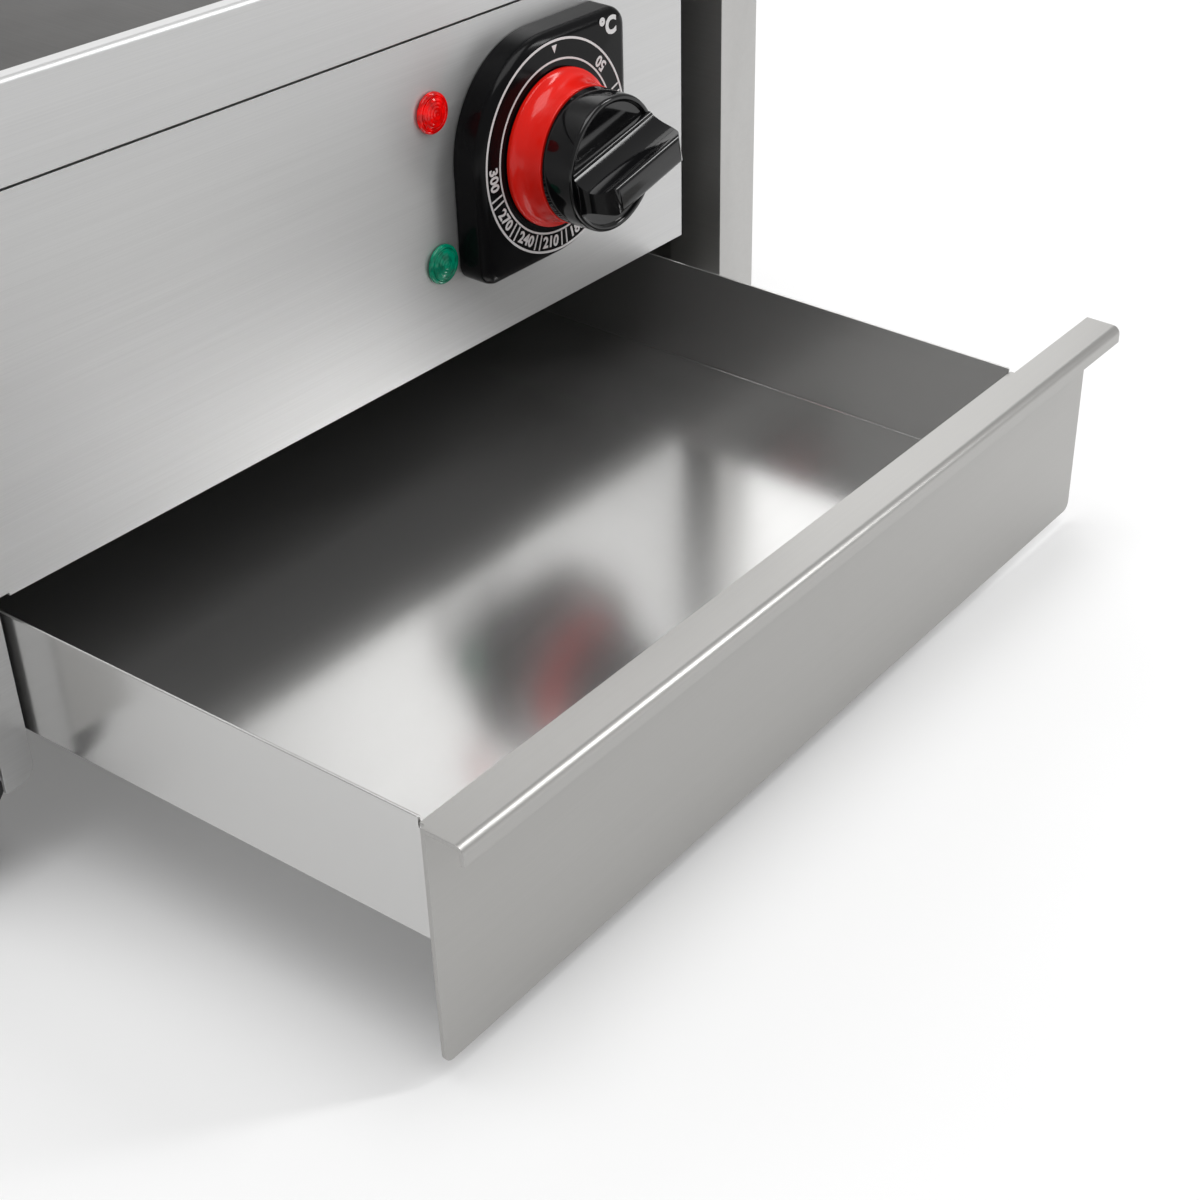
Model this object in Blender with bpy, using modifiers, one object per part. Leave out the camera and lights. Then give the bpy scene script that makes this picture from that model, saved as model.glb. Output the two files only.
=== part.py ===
"""Countertop electric griddle with a grease drawer, for Blender 4.5.

Frame: metres, +Z up, +X to the user's right, -Y towards the user. The origin is on the
table, under the middle of the bounding box. Inside this script sizes are millimetres,
Y is counted from the front panel's face, and one root empty moves everything into place.
The drawer stands part way out, which is its rest position.
"""

import math

import bmesh
import bpy
from mathutils import Matrix, Vector

MM = 0.001

# ---- driving dimensions, millimetres ----
SHEET = 1.2  # body sheet thickness
GAP = 0.4  # clearance between neighbouring pieces
BODY_HALF_W = 180.0  # side panel's outer face
BODY_DEPTH = 400.0
SIDE_BOTTOM = 36.0
SIDE_TOP = 195.6
FLANGE_W = 20.5  # front flange of a side panel
RETURN_D = 22.0  # fold behind that flange
BOLT_SPACE_TOP = 48.0  # the fold starts here, above the front foot's bolt
PANEL_BOTTOM = 86.0  # lower edge of the control panel, above the drawer
PANEL_TOP = 186.2  # folded back just under the top frame's apron
PANEL_RIGHT = 136.5
PANEL_LEFT = -158.9
LEG_INNER = -149.5  # inner edge of the strip beside the drawer opening
LEG_BOTTOM = 31.2
LEG_CORNER_R = 5.0
SKIRT_BOTTOM = 187.2  # lower edge of the top frame's apron
RIM_TOP = 211.5
RIM_W = 4.4
RIM_BEND_R = 1.6
LEDGE_W = 24.0
PLATE_TOP = 205.6
PLATE_T = 8.0
GUARD_H = 60.0
DRAIN = (105.0, 37.0)
DRAIN_R = 9.0
REAR_FACE = BODY_DEPTH + 0.4  # inner face of the rear panel
REAR_OUT = REAR_FACE + SHEET  # its outer face
REAR_FLANGE_W = 16.0  # rear flange of a side panel

DRAWER_OUT = 138.0  # how far the drawer stands out at rest
BOX_LEFT = -147.8
BOX_RIGHT = 126.6
BOX_LEN = 330.0
BOX_BOTTOM = 44.6
BOX_TOP = 81.2
BOX_T = 1.0
FACE_LEFT = -149.2
FACE_RIGHT = 177.4
FACE_BOTTOM = 5.8
FACE_TOP = 80.0
LIP_REACH = 12.5  # the handle's bend stands this far in front of the drawer face
LIP_DROP = 5.6

DIAL = (59.3, 143.8)  # X and Z of the knob's axis
BEZEL_HALF = 35.0
BEZEL_D = 10.3
PEG_REACH = 28.0  # the bezel's pegs stand this far sideways and up or down from the axis
THERMOSTAT_SCREW_X = 14.0  # each fixing's distance from the knob's axis
SKIRT_R = 24.2
BARREL_R = 20.7
BARREL_BASE = 10.8  # heights above the bezel's face
BARREL_TOP = 21.7
WING_TOP = 35.2
WING_HALF_W = 7.2  # at its root
WING_ANGLE = 13.0  # degrees above horizontal
LAMPS = {"red": (16.8, 164.2), "green": (16.8, 117.8)}
LENS_R = 6.1

FOOT_X = 164.5
FOOT_Y = (19.0, 381.0)
FOOT_R = 15.5
FOOT_HOLE_R = 3.4
SCREW_HOLE_R = 1.9
RAIL_SCREW_X = 162.0
RAIL_SCREW_Y = (60, 330)
REAR_SCREW_X = 172.0
REAR_SCREW_Z = (60, 170)
GLAND = (-110.0, 112.0)
GLAND_HOLE_R = 8.4
GLAND_END = 426.0
EARTH = (-150.0, 56.0)

FRONT = -DRAWER_OUT - LIP_REACH
ROOT_Y = -(FRONT + GLAND_END) / 2


# ---- scene and materials ----
def clear_scene():
    for old in list(bpy.data.objects):
        bpy.data.objects.remove(old, do_unlink=True)


def new_collection(name, hidden=False):
    group = bpy.data.collections.new(name)
    bpy.context.scene.collection.children.link(group)
    group.hide_render = hidden
    return group


clear_scene()
PARTS = new_collection("electric_griddle")
CUTTERS = new_collection("cutters", hidden=True)


def empty(name, location, parent=None):
    obj = bpy.data.objects.new(name, None)
    obj.empty_display_size = 0.03
    obj.location = Vector(location) * MM
    obj.parent = parent
    PARTS.objects.link(obj)
    return obj


ROOT = empty("griddle_root", (0, ROOT_Y, 0))
DRAWER_AXIS = empty("drawer_slide_axis", (0, 0, BOX_BOTTOM), ROOT)
KNOB_AXIS = empty("knob_axis", (DIAL[0], -GAP - BEZEL_D, DIAL[1]), ROOT)
# The knob's own Z points at the user and its own X lies along the grip.
KNOB_AXIS.rotation_euler = (math.radians(90), math.radians(-WING_ANGLE), 0)


def material(name, color, metallic, roughness, alpha=1.0):
    mat = bpy.data.materials.new(name)
    mat.use_nodes = True
    shader = mat.node_tree.nodes["Principled BSDF"]
    shader.inputs["Base Color"].default_value = (*color, 1.0)
    shader.inputs["Metallic"].default_value = metallic
    shader.inputs["Roughness"].default_value = roughness
    shader.inputs["Alpha"].default_value = alpha
    mat.diffuse_color = (*color, 1.0)
    return mat


STEEL = material("brushed_stainless", (0.56, 0.56, 0.55), 1.0, 0.32)
STEEL_IN = material("plain_stainless", (0.45, 0.45, 0.44), 1.0, 0.40)
PLATE = material("griddle_steel", (0.12, 0.118, 0.115), 0.9, 0.5)
ZINC = material("zinc_plated", (0.55, 0.55, 0.52), 1.0, 0.45)
BLACK = material("gloss_black_plastic", (0.012, 0.012, 0.013), 0.0, 0.18)
RED = material("red_plastic", (0.70, 0.03, 0.015), 0.0, 0.22)
RUBBER = material("black_rubber", (0.02, 0.02, 0.02), 0.0, 0.75)
LENS_RED = material("red_lens", (0.75, 0.01, 0.01), 0.0, 0.12)
LENS_GREEN = material("green_lens", (0.0, 0.30, 0.13), 0.0, 0.12)
NYLON = material("nylon", (0.62, 0.60, 0.55), 0.0, 0.5)
SHEATH = material("element_sheath", (0.22, 0.20, 0.18), 0.9, 0.45)
WOOL = material("mineral_wool", (0.62, 0.58, 0.50), 0.0, 0.95)
BAKELITE = material("bakelite", (0.05, 0.045, 0.04), 0.0, 0.4)
COPPER = material("copper", (0.72, 0.42, 0.28), 1.0, 0.35)


# ---- building helpers ----
def place(name, mesh, mat, group=None, parent=None):
    obj = bpy.data.objects.new(name, mesh)
    (group or PARTS).objects.link(obj)
    if mat:
        mesh.materials.append(mat)
    obj.parent = ROOT if parent is None else parent
    return obj


def shade(obj, angle=35):
    obj.data.shade_smooth()
    obj.data.set_sharp_from_angle(angle=math.radians(angle))


def rounded_edges(obj, width, segments=2, angle=50):
    """A Bevel on every edge sharper than the angle."""
    bevel = obj.modifiers.new("rounded_edges", "BEVEL")
    bevel.width = width * MM
    bevel.segments = segments
    bevel.limit_method = "ANGLE"
    bevel.angle_limit = math.radians(angle)
    return bevel


def block(name, x, y, z, mat=None, group=None, parent=None):
    """A box from three (low, high) spans."""
    bm = bmesh.new()
    bmesh.ops.create_cube(bm, size=1.0)
    size = Vector((x[1] - x[0], y[1] - y[0], z[1] - z[0])) * MM
    middle = Vector((x[0] + x[1], y[0] + y[1], z[0] + z[1])) * MM / 2
    bmesh.ops.scale(bm, vec=size, verts=bm.verts)
    bmesh.ops.translate(bm, vec=middle, verts=bm.verts)
    mesh = bpy.data.meshes.new(name)
    bm.to_mesh(mesh)
    bm.free()
    return place(name, mesh, mat, group, parent)


AXES = {
    "Z": Matrix.Identity(4),
    "Y": Matrix(((1, 0, 0, 0), (0, 0, -1, 0), (0, 1, 0, 0), (0, 0, 0, 1))),
    "X": Matrix(((0, 0, 1, 0), (1, 0, 0, 0), (0, 1, 0, 0), (0, 0, 0, 1))),
}


def outline(name, points, axis, span, mat=None, group=None, parent=None):
    """A flat closed outline, drawn as a filled 2D curve, thickened along one axis.

    The points are (x, y) for axis Z, (x, z) for axis Y and (y, z) for axis X.
    """
    curve = bpy.data.curves.new(name + "_outline", "CURVE")
    curve.dimensions = "2D"
    curve.fill_mode = "BOTH"
    curve.extrude = (span[1] - span[0]) / 2 * MM
    spline = curve.splines.new("POLY")
    spline.points.add(len(points) - 1)
    for slot, (u, v) in zip(spline.points, points):
        slot.co = (u * MM, v * MM, 0, 1)
    spline.use_cyclic_u = True
    guide = bpy.data.objects.new(name + "_guide", curve)
    bpy.context.scene.collection.objects.link(guide)
    graph = bpy.context.evaluated_depsgraph_get()
    mesh = bpy.data.meshes.new_from_object(guide.evaluated_get(graph))
    bpy.data.objects.remove(guide, do_unlink=True)
    bpy.data.curves.remove(curve)
    middle = (span[0] + span[1]) / 2 * MM
    offset = {"Z": (0, 0, middle), "Y": (0, middle, 0), "X": (middle, 0, 0)}[axis]
    bm = bmesh.new()
    bm.from_mesh(mesh)
    bmesh.ops.remove_doubles(bm, verts=bm.verts, dist=0.000001)
    bmesh.ops.transform(bm, matrix=Matrix.Translation(offset) @ AXES[axis], verts=bm.verts)
    bmesh.ops.recalc_face_normals(bm, faces=bm.faces)
    bm.to_mesh(mesh)
    bm.free()
    mesh.name = name
    mesh.materials.clear()
    return place(name, mesh, mat, group, parent)


def arc(center, radius, start, end, steps):
    """Points along an arc, angles in degrees."""
    found = []
    for i in range(steps + 1):
        angle = math.radians(start + (end - start) * i / steps)
        x = center[0] + radius * math.cos(angle)
        found.append((x, center[1] + radius * math.sin(angle)))
    return found


TURN_TO = {"Z": (0, 0, 0), "-Y": (math.radians(90), 0, 0), "Y": (math.radians(-90), 0, 0)}


def turned(name, profile, at, mat=None, direction="Z", steps=20, ring=False, group=None, parent=None):
    """A profile of (radius, height) points, top to bottom down its outside, turned by a Screw."""
    mesh = bpy.data.meshes.new(name)
    verts = [(r * MM, 0, h * MM) for r, h in profile]
    edges = [(i, i + 1) for i in range(len(verts) - 1)]
    if ring:
        edges.append((len(verts) - 1, 0))
    mesh.from_pydata(verts, edges, [])
    obj = place(name, mesh, mat, group, parent)
    obj.location = Vector(at) * MM
    obj.rotation_euler = TURN_TO[direction]
    screw = obj.modifiers.new("turned", "SCREW")
    screw.steps = steps
    screw.render_steps = steps
    screw.use_merge_vertices = True
    screw.merge_threshold = 0.00001
    screw.use_smooth_shade = True
    return obj


def cylinder(name, radius, span, at, direction="Z", mat=None, sides=20, group=None, parent=None):
    """A plain cylinder between two heights along its direction."""
    bm = bmesh.new()
    depth = (span[1] - span[0]) * MM
    bmesh.ops.create_cone(
        bm, cap_ends=True, segments=sides, radius1=radius * MM, radius2=radius * MM, depth=depth
    )
    bmesh.ops.translate(bm, vec=(0, 0, (span[0] + span[1]) / 2 * MM), verts=bm.verts)
    mesh = bpy.data.meshes.new(name)
    bm.to_mesh(mesh)
    bm.free()
    obj = place(name, mesh, mat, group, parent)
    obj.location = Vector(at) * MM
    obj.rotation_euler = TURN_TO[direction]
    shade(obj)
    return obj


def tube(name, points, radius, mat, resolution=1):
    """A round tube or wire along a polyline."""
    curve = bpy.data.curves.new(name, "CURVE")
    curve.dimensions = "3D"
    curve.bevel_depth = radius * MM
    curve.bevel_resolution = resolution
    curve.use_fill_caps = True
    spline = curve.splines.new("POLY")
    spline.points.add(len(points) - 1)
    for slot, point in zip(spline.points, points):
        slot.co = (*(Vector(point) * MM), 1)
    spline.use_smooth = True
    curve.materials.append(mat)
    obj = bpy.data.objects.new(name, curve)
    PARTS.objects.link(obj)
    obj.parent = ROOT
    return obj


def combine(obj, other, operation):
    """A Boolean with another object, which becomes a hidden helper."""
    if other.name in PARTS.objects:
        PARTS.objects.unlink(other)
        CUTTERS.objects.link(other)
    other.hide_render = True
    other.display_type = "WIRE"
    boolean = obj.modifiers.new(operation.lower() + "_" + other.name, "BOOLEAN")
    boolean.operation = operation
    boolean.solver = "EXACT"
    boolean.object = other


def fuse(obj, *others):
    for other in others:
        combine(obj, other, "UNION")


def cut(obj, *others):
    for other in others:
        combine(obj, other, "DIFFERENCE")


def hole(obj, radius, span, at, direction="Z", sides=16):
    name = obj.name + "_hole_" + str(len(obj.modifiers))
    cut(obj, cylinder(name, radius, span, at, direction, sides=sides, group=CUTTERS))


def screw(name, at, direction, shank, mat=ZINC, head_r=3.4, head_h=2.2, shank_r=1.5, parent=None):
    """A pan-head screw. Its head stands on the point, and its shank goes the other way."""
    profile = [
        (0, head_h),
        (head_r * 0.62, head_h * 0.94),
        (head_r * 0.92, head_h * 0.6),
        (head_r, 0.3),
        (head_r * 0.96, 0),
        (shank_r, 0),
        (shank_r, -shank),
        (0, -shank),
    ]
    return turned(name, profile, at, mat, direction, steps=12, parent=parent)


# ---- side panels: one folded sheet each, mirrored ----
def mirrored(points, side):
    """Left-hand points as they are, or mirrored to the right with their order turned round."""
    if side < 0:
        return points
    return [(-x, y) for x, y in reversed(points)]


def span_x(low, high, side):
    return (low, high) if side < 0 else (-high, -low)


def side_panel(name, side):
    w = -BODY_HALF_W
    inner = w + FLANGE_W
    section = [
        (w, 0),
        (w, BODY_DEPTH),
        (w + REAR_FLANGE_W, BODY_DEPTH),
        (w + REAR_FLANGE_W, BODY_DEPTH - SHEET),
        (w + SHEET, BODY_DEPTH - SHEET),
        (w + SHEET, SHEET),
        (inner - SHEET, SHEET),
        (inner - SHEET, RETURN_D),
        (inner, RETURN_D),
        (inner, 0),
    ]
    panel = outline(name, mirrored(section, side), "Z", (SIDE_BOTTOM, SIDE_TOP), STEEL)
    notch = block(
        name + "_notch",
        span_x(w - 1, w + FLANGE_W + 1, side),
        (-1, SHEET + 0.6),
        (PANEL_TOP, SIDE_TOP + 1),
        group=CUTTERS,
    )
    bolt_space = block(
        name + "_bolt_space",
        span_x(inner - SHEET - 1, inner + 1, side),
        (SHEET + 0.6, RETURN_D + 1),
        (SIDE_BOTTOM - 1, BOLT_SPACE_TOP),
        group=CUTTERS,
    )
    cut(panel, notch, bolt_space)
    shelf = block(
        name + "_foot_shelf",
        span_x(w + 0.5, w + 30, side),
        (2, BODY_DEPTH - 0.6),
        (SIDE_BOTTOM, SIDE_BOTTOM + SHEET),
        group=CUTTERS,
    )
    fuse(panel, shelf)
    for y in FOOT_Y:
        hole(panel, FOOT_HOLE_R, (30, 42), (side * FOOT_X, y, 0))
    for y in RAIL_SCREW_Y:
        hole(panel, SCREW_HOLE_R, (30, 42), (side * RAIL_SCREW_X, y, 0))
    for z in REAR_SCREW_Z:
        hole(panel, SCREW_HOLE_R, (390, 410), (side * REAR_SCREW_X, 0, z), "Y")
    return panel


side_panel("side_panel_left", -1)
side_panel("side_panel_right", 1)

# ---- control panel, with the strip that runs down beside the drawer opening ----
leg_center = (LEG_INNER - LEG_CORNER_R, LEG_BOTTOM + LEG_CORNER_R)
panel_points = [
    (PANEL_LEFT, PANEL_TOP),
    (PANEL_LEFT, LEG_BOTTOM),
    *arc(leg_center, LEG_CORNER_R, -90, 0, 6),
    (LEG_INNER, PANEL_BOTTOM + 0.9),
    (LEG_INNER + 4, PANEL_BOTTOM + 0.9),
    (LEG_INNER + 4, PANEL_BOTTOM),
    (PANEL_RIGHT, PANEL_BOTTOM),
    (PANEL_RIGHT, PANEL_TOP),
]
front_panel = outline("front_panel", panel_points, "Y", (0, SHEET), STEEL)
panel_hem = block(
    "front_panel_hem",
    (LEG_INNER + 4, PANEL_RIGHT),
    (0.6, 14),
    (PANEL_BOTTOM, PANEL_BOTTOM + SHEET),
    group=CUTTERS,
)
panel_fold_right = block(
    "front_panel_fold_right",
    (PANEL_RIGHT - SHEET, PANEL_RIGHT),
    (0.6, 44),
    (PANEL_BOTTOM, PANEL_TOP),
    group=CUTTERS,
)
panel_fold_left = block(
    "front_panel_fold_left",
    (PANEL_LEFT, PANEL_LEFT + SHEET),
    (0.6, 44),
    (PANEL_BOTTOM + 6, PANEL_TOP),
    group=CUTTERS,
)
panel_fold_top = block(
    "front_panel_fold_top",
    (PANEL_LEFT, PANEL_RIGHT),
    (0.6, 14),
    (PANEL_TOP - SHEET, PANEL_TOP),
    group=CUTTERS,
)
fuse(front_panel, panel_hem, panel_fold_right, panel_fold_left, panel_fold_top)
hole(front_panel, 5.4, (-5, 5), (DIAL[0], 0, DIAL[1]), "Y", 20)
for side in (-1, 1):
    screw_at = (DIAL[0] + side * THERMOSTAT_SCREW_X, 0, DIAL[1])
    hole(front_panel, 2.3, (-5, 5), screw_at, "Y")
    peg_at = (DIAL[0] + side * PEG_REACH, 0, DIAL[1] + side * PEG_REACH)
    hole(front_panel, 2.2, (-5, 5), peg_at, "Y")
for x, z in LAMPS.values():
    hole(front_panel, 5.2, (-5, 5), (x, 0, z), "Y", 20)

# ---- base pan under the drawer, and its fixings ----
base_pan = block("base_pan", (-178.2, 178.2), (28, 398.2), (37.6, 38.8), STEEL_IN)
fuse(base_pan, block("base_pan_lip", (-178.2, 178.2), (28, 29.2), (38, 42), group=CUTTERS))
for side in (-1, 1):
    hole(base_pan, FOOT_HOLE_R, (30, 42), (side * FOOT_X, FOOT_Y[1], 0))
    for y in RAIL_SCREW_Y:
        hole(base_pan, SCREW_HOLE_R, (30, 42), (side * RAIL_SCREW_X, y, 0))


# ---- drawer rails: a foot on the pan, a web, a shelf and an anti-tip lip ----
def rail(name, side, wall_x, foot_x):
    """wall_x is the drawer wall's outer face, and side is the way out from it."""

    def at(reach, z):
        return (wall_x + side * reach, z)

    section = [
        (foot_x, 39.2),
        at(1.8, 39.2),
        at(1.8, 43.0),
        at(-12, 43.0),
        at(-12, 44.2),
        at(1.8, 44.2),
        at(1.8, 82.2),
        at(-4.8, 82.2),
        at(-4.8, 83.4),
        at(1.8, 83.4),
        at(1.8, 87.6),
        at(3.0, 87.6),
        at(3.0, 40.4),
        (foot_x, 40.4),
    ]
    if side > 0:
        section = list(reversed(section))
    obj = outline(name, section, "Y", (30, 366), ZINC)
    for y in RAIL_SCREW_Y:
        hole(obj, SCREW_HOLE_R, (36, 42), (side * RAIL_SCREW_X, y, 0))
    return obj


rail("drawer_rail_left", -1, BOX_LEFT, -175)
rail("drawer_rail_right", 1, BOX_RIGHT, 172)
for label, side in (("left", -1), ("right", 1)):
    for tag, y in zip(("front", "rear"), RAIL_SCREW_Y):
        screw(f"rail_screw_{tag}_{label}", (side * RAIL_SCREW_X, y, 40.8), "Z", 8)

# ---- sheet between the drawer space and the heated part ----
drawer_shield = block("drawer_shield", (-152, 131), (50, 396), (88, 89.2), STEEL_IN)

# ---- rear panel with vent slots ----
rear_panel = block("rear_panel", (-179, 179), (REAR_FACE, REAR_OUT), (38, 195.4), STEEL)
for side in (-1, 1):
    for z in REAR_SCREW_Z:
        hole(rear_panel, SCREW_HOLE_R, (390, 410), (side * REAR_SCREW_X, 0, z), "Y")
hole(rear_panel, GLAND_HOLE_R, (390, 410), (GLAND[0], 0, GLAND[1]), "Y", 24)
hole(rear_panel, 2.9, (390, 410), (EARTH[0], 0, EARTH[1]), "Y")
VENT_R = 2.0
for i in range(8):
    x = 4 + 14 * i
    slot_points = [*arc((x, 124), VENT_R, 180, 360, 4), *arc((x, 158), VENT_R, 0, 180, 4)]
    cut(rear_panel, outline(f"vent_slot_{i}", slot_points, "Y", (395, 405), group=CUTTERS))
for label, side in (("left", -1), ("right", 1)):
    for tag, z in zip(("lower", "upper"), REAR_SCREW_Z):
        screw(f"rear_screw_{tag}_{label}", (side * REAR_SCREW_X, REAR_OUT + GAP, z), "Y", 8)


# ---- top frame: a mitred ring of folded sheet with a rolled rim and a ledge ----
def mitred_ring(name, profile, half_w, low_y, high_y, mat):
    """Carries a closed (inset, height) section round a rectangle."""
    bm = bmesh.new()
    loops = []
    for inset, z in profile:
        x, y0, y1 = half_w - inset, low_y + inset, high_y - inset
        corners = ((-x, y0), (x, y0), (x, y1), (-x, y1))
        loops.append([bm.verts.new((cx * MM, cy * MM, z * MM)) for cx, cy in corners])
    for i, loop in enumerate(loops):
        following = loops[(i + 1) % len(loops)]
        for k in range(4):
            n = (k + 1) % 4
            bm.faces.new((loop[k], loop[n], following[n], following[k]))
    bmesh.ops.recalc_face_normals(bm, faces=bm.faces)
    mesh = bpy.data.meshes.new(name)
    bm.to_mesh(mesh)
    bm.free()
    obj = place(name, mesh, mat)
    shade(obj, 50)
    return obj


TOP_HALF_W = BODY_HALF_W + 1.6
TOP_FRONT = -0.9
TOP_REAR = BODY_DEPTH + 3.6
LEDGE_TOP = PLATE_TOP - PLATE_T - GAP
bend_center = (RIM_BEND_R, RIM_TOP - RIM_BEND_R)
frame_section = [
    (0, SKIRT_BOTTOM),
    *arc(bend_center, RIM_BEND_R, 180, 90, 4),
    (RIM_W, RIM_TOP),
    (RIM_W, LEDGE_TOP),
    (LEDGE_W, LEDGE_TOP),
    (LEDGE_W, LEDGE_TOP - SHEET),
    (RIM_W - SHEET, LEDGE_TOP - SHEET),
    (RIM_W - SHEET, RIM_TOP - SHEET),
    *arc(bend_center, RIM_BEND_R - SHEET, 90, 180, 3),
    (SHEET, SKIRT_BOTTOM),
]
mitred_ring("top_frame", frame_section, TOP_HALF_W, TOP_FRONT, TOP_REAR, STEEL)

# ---- griddle plate with its drain, chute and splash guard ----
plate_x = TOP_HALF_W - RIM_W - 0.6
plate_y = (TOP_FRONT + RIM_W + 0.6, TOP_REAR - RIM_W - 0.6)
griddle_plate = block(
    "griddle_plate", (-plate_x, plate_x), plate_y, (PLATE_TOP - PLATE_T, PLATE_TOP), PLATE
)
rounded_edges(griddle_plate, 0.8)
hole(griddle_plate, DRAIN_R, (190, 210), (*DRAIN, 0), sides=24)
chute_profile = [
    (DRAIN_R + 4.5, 197.0),
    (DRAIN_R + 4.5, 195.8),
    (DRAIN_R + 1.2, 195.8),
    (DRAIN_R + 1.2, 86.5),
    (DRAIN_R, 86.5),
    (DRAIN_R, 197.0),
]
turned("grease_chute", chute_profile, (*DRAIN, 0), STEEL_IN, steps=24, ring=True)

GUARD_X = 175.6
GUARD_REAR = 396.0
GUARD_BASE = PLATE_TOP + GAP
GUARD_TOP = GUARD_BASE + GUARD_H
GUARD_IN = GUARD_X - SHEET
guard_plan = [
    (-GUARD_X, 40),
    (-GUARD_IN, 40),
    (-GUARD_IN, GUARD_REAR - SHEET),
    (GUARD_IN, GUARD_REAR - SHEET),
    (GUARD_IN, 40),
    (GUARD_X, 40),
    (GUARD_X, GUARD_REAR),
    (-GUARD_X, GUARD_REAR),
]
splash_guard = outline("splash_guard", guard_plan, "Z", (GUARD_BASE + 0.5, GUARD_TOP), STEEL)
cheek_cut = [
    (30, GUARD_BASE - 5),
    (46, GUARD_BASE - 5),
    *arc((66, GUARD_BASE + 14), 20, 180, 105, 5),
    (150, GUARD_TOP),
    (150, GUARD_TOP + 10),
    (30, GUARD_TOP + 10),
]
cut(splash_guard, outline("guard_cheek_cut", cheek_cut, "X", (-190, 190), group=CUTTERS))
for label, side in (("left", -1), ("right", 1)):
    foot = block(
        "guard_foot_" + label,
        span_x(-GUARD_X + 0.5, -GUARD_X + 12, side),
        (52, GUARD_REAR - 0.5),
        (GUARD_BASE, GUARD_BASE + SHEET),
        group=CUTTERS,
    )
    fuse(splash_guard, foot)
for label, side in (("left", -1), ("right", 1)):
    at = (side * (GUARD_X - 7), 220, 0)
    hole(splash_guard, SCREW_HOLE_R, (200, 210), at)
    hole(griddle_plate, SCREW_HOLE_R, (199.5, 210), at, sides=12)
    screw_at = (at[0], at[1], GUARD_BASE + SHEET + GAP)
    screw("guard_screw_" + label, screw_at, "Z", 6, STEEL_IN, head_r=3.0, head_h=1.8)


# ---- heating elements, clamps, insulation and heat shield ----
def element_path(first_x, step):
    """Four runs under the plate, joined by half turns, with both ends bent down at the rear."""
    rear, front, level = 335, 75, 193
    radius = abs(step) / 2
    path = [(first_x, 368, 150), (first_x, 368, 186), (first_x, 366, 191), (first_x, 361, 193)]
    for turn in range(3):
        x = first_x + step * (turn + 0.5)
        y = front if turn % 2 == 0 else rear
        bulge = -1 if turn % 2 == 0 else 1
        for i in range(9):
            angle = math.pi * i / 8
            px = x - math.copysign(radius, step) * math.cos(angle)
            path.append((px, y + bulge * radius * math.sin(angle), level))
    last = first_x + 3 * step
    path += [(last, 361, 193), (last, 366, 191), (last, 368, 186), (last, 368, 150)]
    return path


tube("heating_element_left", element_path(-133, 34), 4.0, SHEATH, 2)
tube("heating_element_right", element_path(133, -34), 4.0, SHEATH, 2)

insulation = block("insulation_blanket", (-150, 150), (52, 352), (161.0, 185.6), WOOL)
rounded_edges(insulation, 2.0)
heat_shield = block("heat_shield", (-152, 152), (50, 356), (159.2, 160.4), STEEL_IN)
STUD_X = 14
for tag, y in (("front", 120), ("rear", 290)):
    clamp = block(f"element_clamp_{tag}", (-146, 146), (y - 10, y + 10), (186.0, 188.4), ZINC)
    for target in (clamp, insulation, heat_shield):
        hole(target, 3.1, (150, 195), (STUD_X, y, 0), sides=12)
    stud = cylinder(f"clamp_stud_{tag}", 2.5, (150, 197.2), (STUD_X, y, 0), mat=ZINC, sides=12)
    nut = cylinder(f"clamp_nut_{tag}", 4.6, (155.2, 158.8), (STUD_X, y, 0), sides=6, group=CUTTERS)
    fuse(stud, nut)

# ---- thermostat behind the panel, its sensor, cut-out and wiring block ----
THERMOSTAT_HALF = 19.0
thermostat = block(
    "thermostat_body",
    (DIAL[0] - THERMOSTAT_HALF, DIAL[0] + THERMOSTAT_HALF),
    (2.0, 28),
    (DIAL[1] - THERMOSTAT_HALF, DIAL[1] + THERMOSTAT_HALF),
    BAKELITE,
)
rounded_edges(thermostat, 1.5)
hole(thermostat, 3.5, (-22, 0), (DIAL[0], 0, DIAL[1]), "-Y", 20)
for side in (-1, 1):
    at = (DIAL[0] + side * THERMOSTAT_SCREW_X, 0, DIAL[1])
    hole(thermostat, 2.0, (-12, 0), at, "-Y", 12)
for dx in (-9, 9):
    blade = block(
        f"thermostat_blade_{'left' if dx < 0 else 'right'}",
        (DIAL[0] + dx - 3.2, DIAL[0] + dx + 3.2),
        (24, 37),
        (DIAL[1] + 8, DIAL[1] + 9),
        group=CUTTERS,
    )
    fuse(thermostat, blade)
for label, side in (("left", -1), ("right", 1)):
    screw(
        f"thermostat_screw_{label}",
        (DIAL[0] + side * THERMOSTAT_SCREW_X, -GAP, DIAL[1]),
        "-Y",
        9,
        head_r=3.6,
        shank_r=1.6,
    )

SENSOR_X = -8.0
capillary_path = [
    (SENSOR_X, 149.4, 193.0),
    (SENSOR_X, 70, 193.0),
    (SENSOR_X + 3, 52, 191.5),
    (SENSOR_X + 10, 43, 187.0),
    (SENSOR_X + 22, 40, 179.0),
    (SENSOR_X + 36, 39, 170.0),
    (SENSOR_X + 50, 38.5, 160.0),
    (SENSOR_X + 60, 38, 149.0),
    (SENSOR_X + 65, 36, 142.0),
    (SENSOR_X + 67.3, 32, 138.5),
    (SENSOR_X + 67.3, 28.4, 138.0),
]
tube("sensor_capillary", capillary_path, 1.2, COPPER, 1)
bulb_profile = [(0, 80), (2.0, 79), (3.0, 76), (3.0, 3), (2.0, 0.6), (0, 0)]
turned(
    "sensor_bulb",
    bulb_profile,
    (SENSOR_X, 149.8, 193.0),
    COPPER,
    "Y",
    steps=12,
)
safety_cutout = block("safety_cutout", (92, 124), (366, 392), (104, 122), BAKELITE)
rounded_edges(safety_cutout, 1.5)
terminal_block = block("terminal_block", (-92, -44), (372, 392), (102, 120), NYLON)
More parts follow.
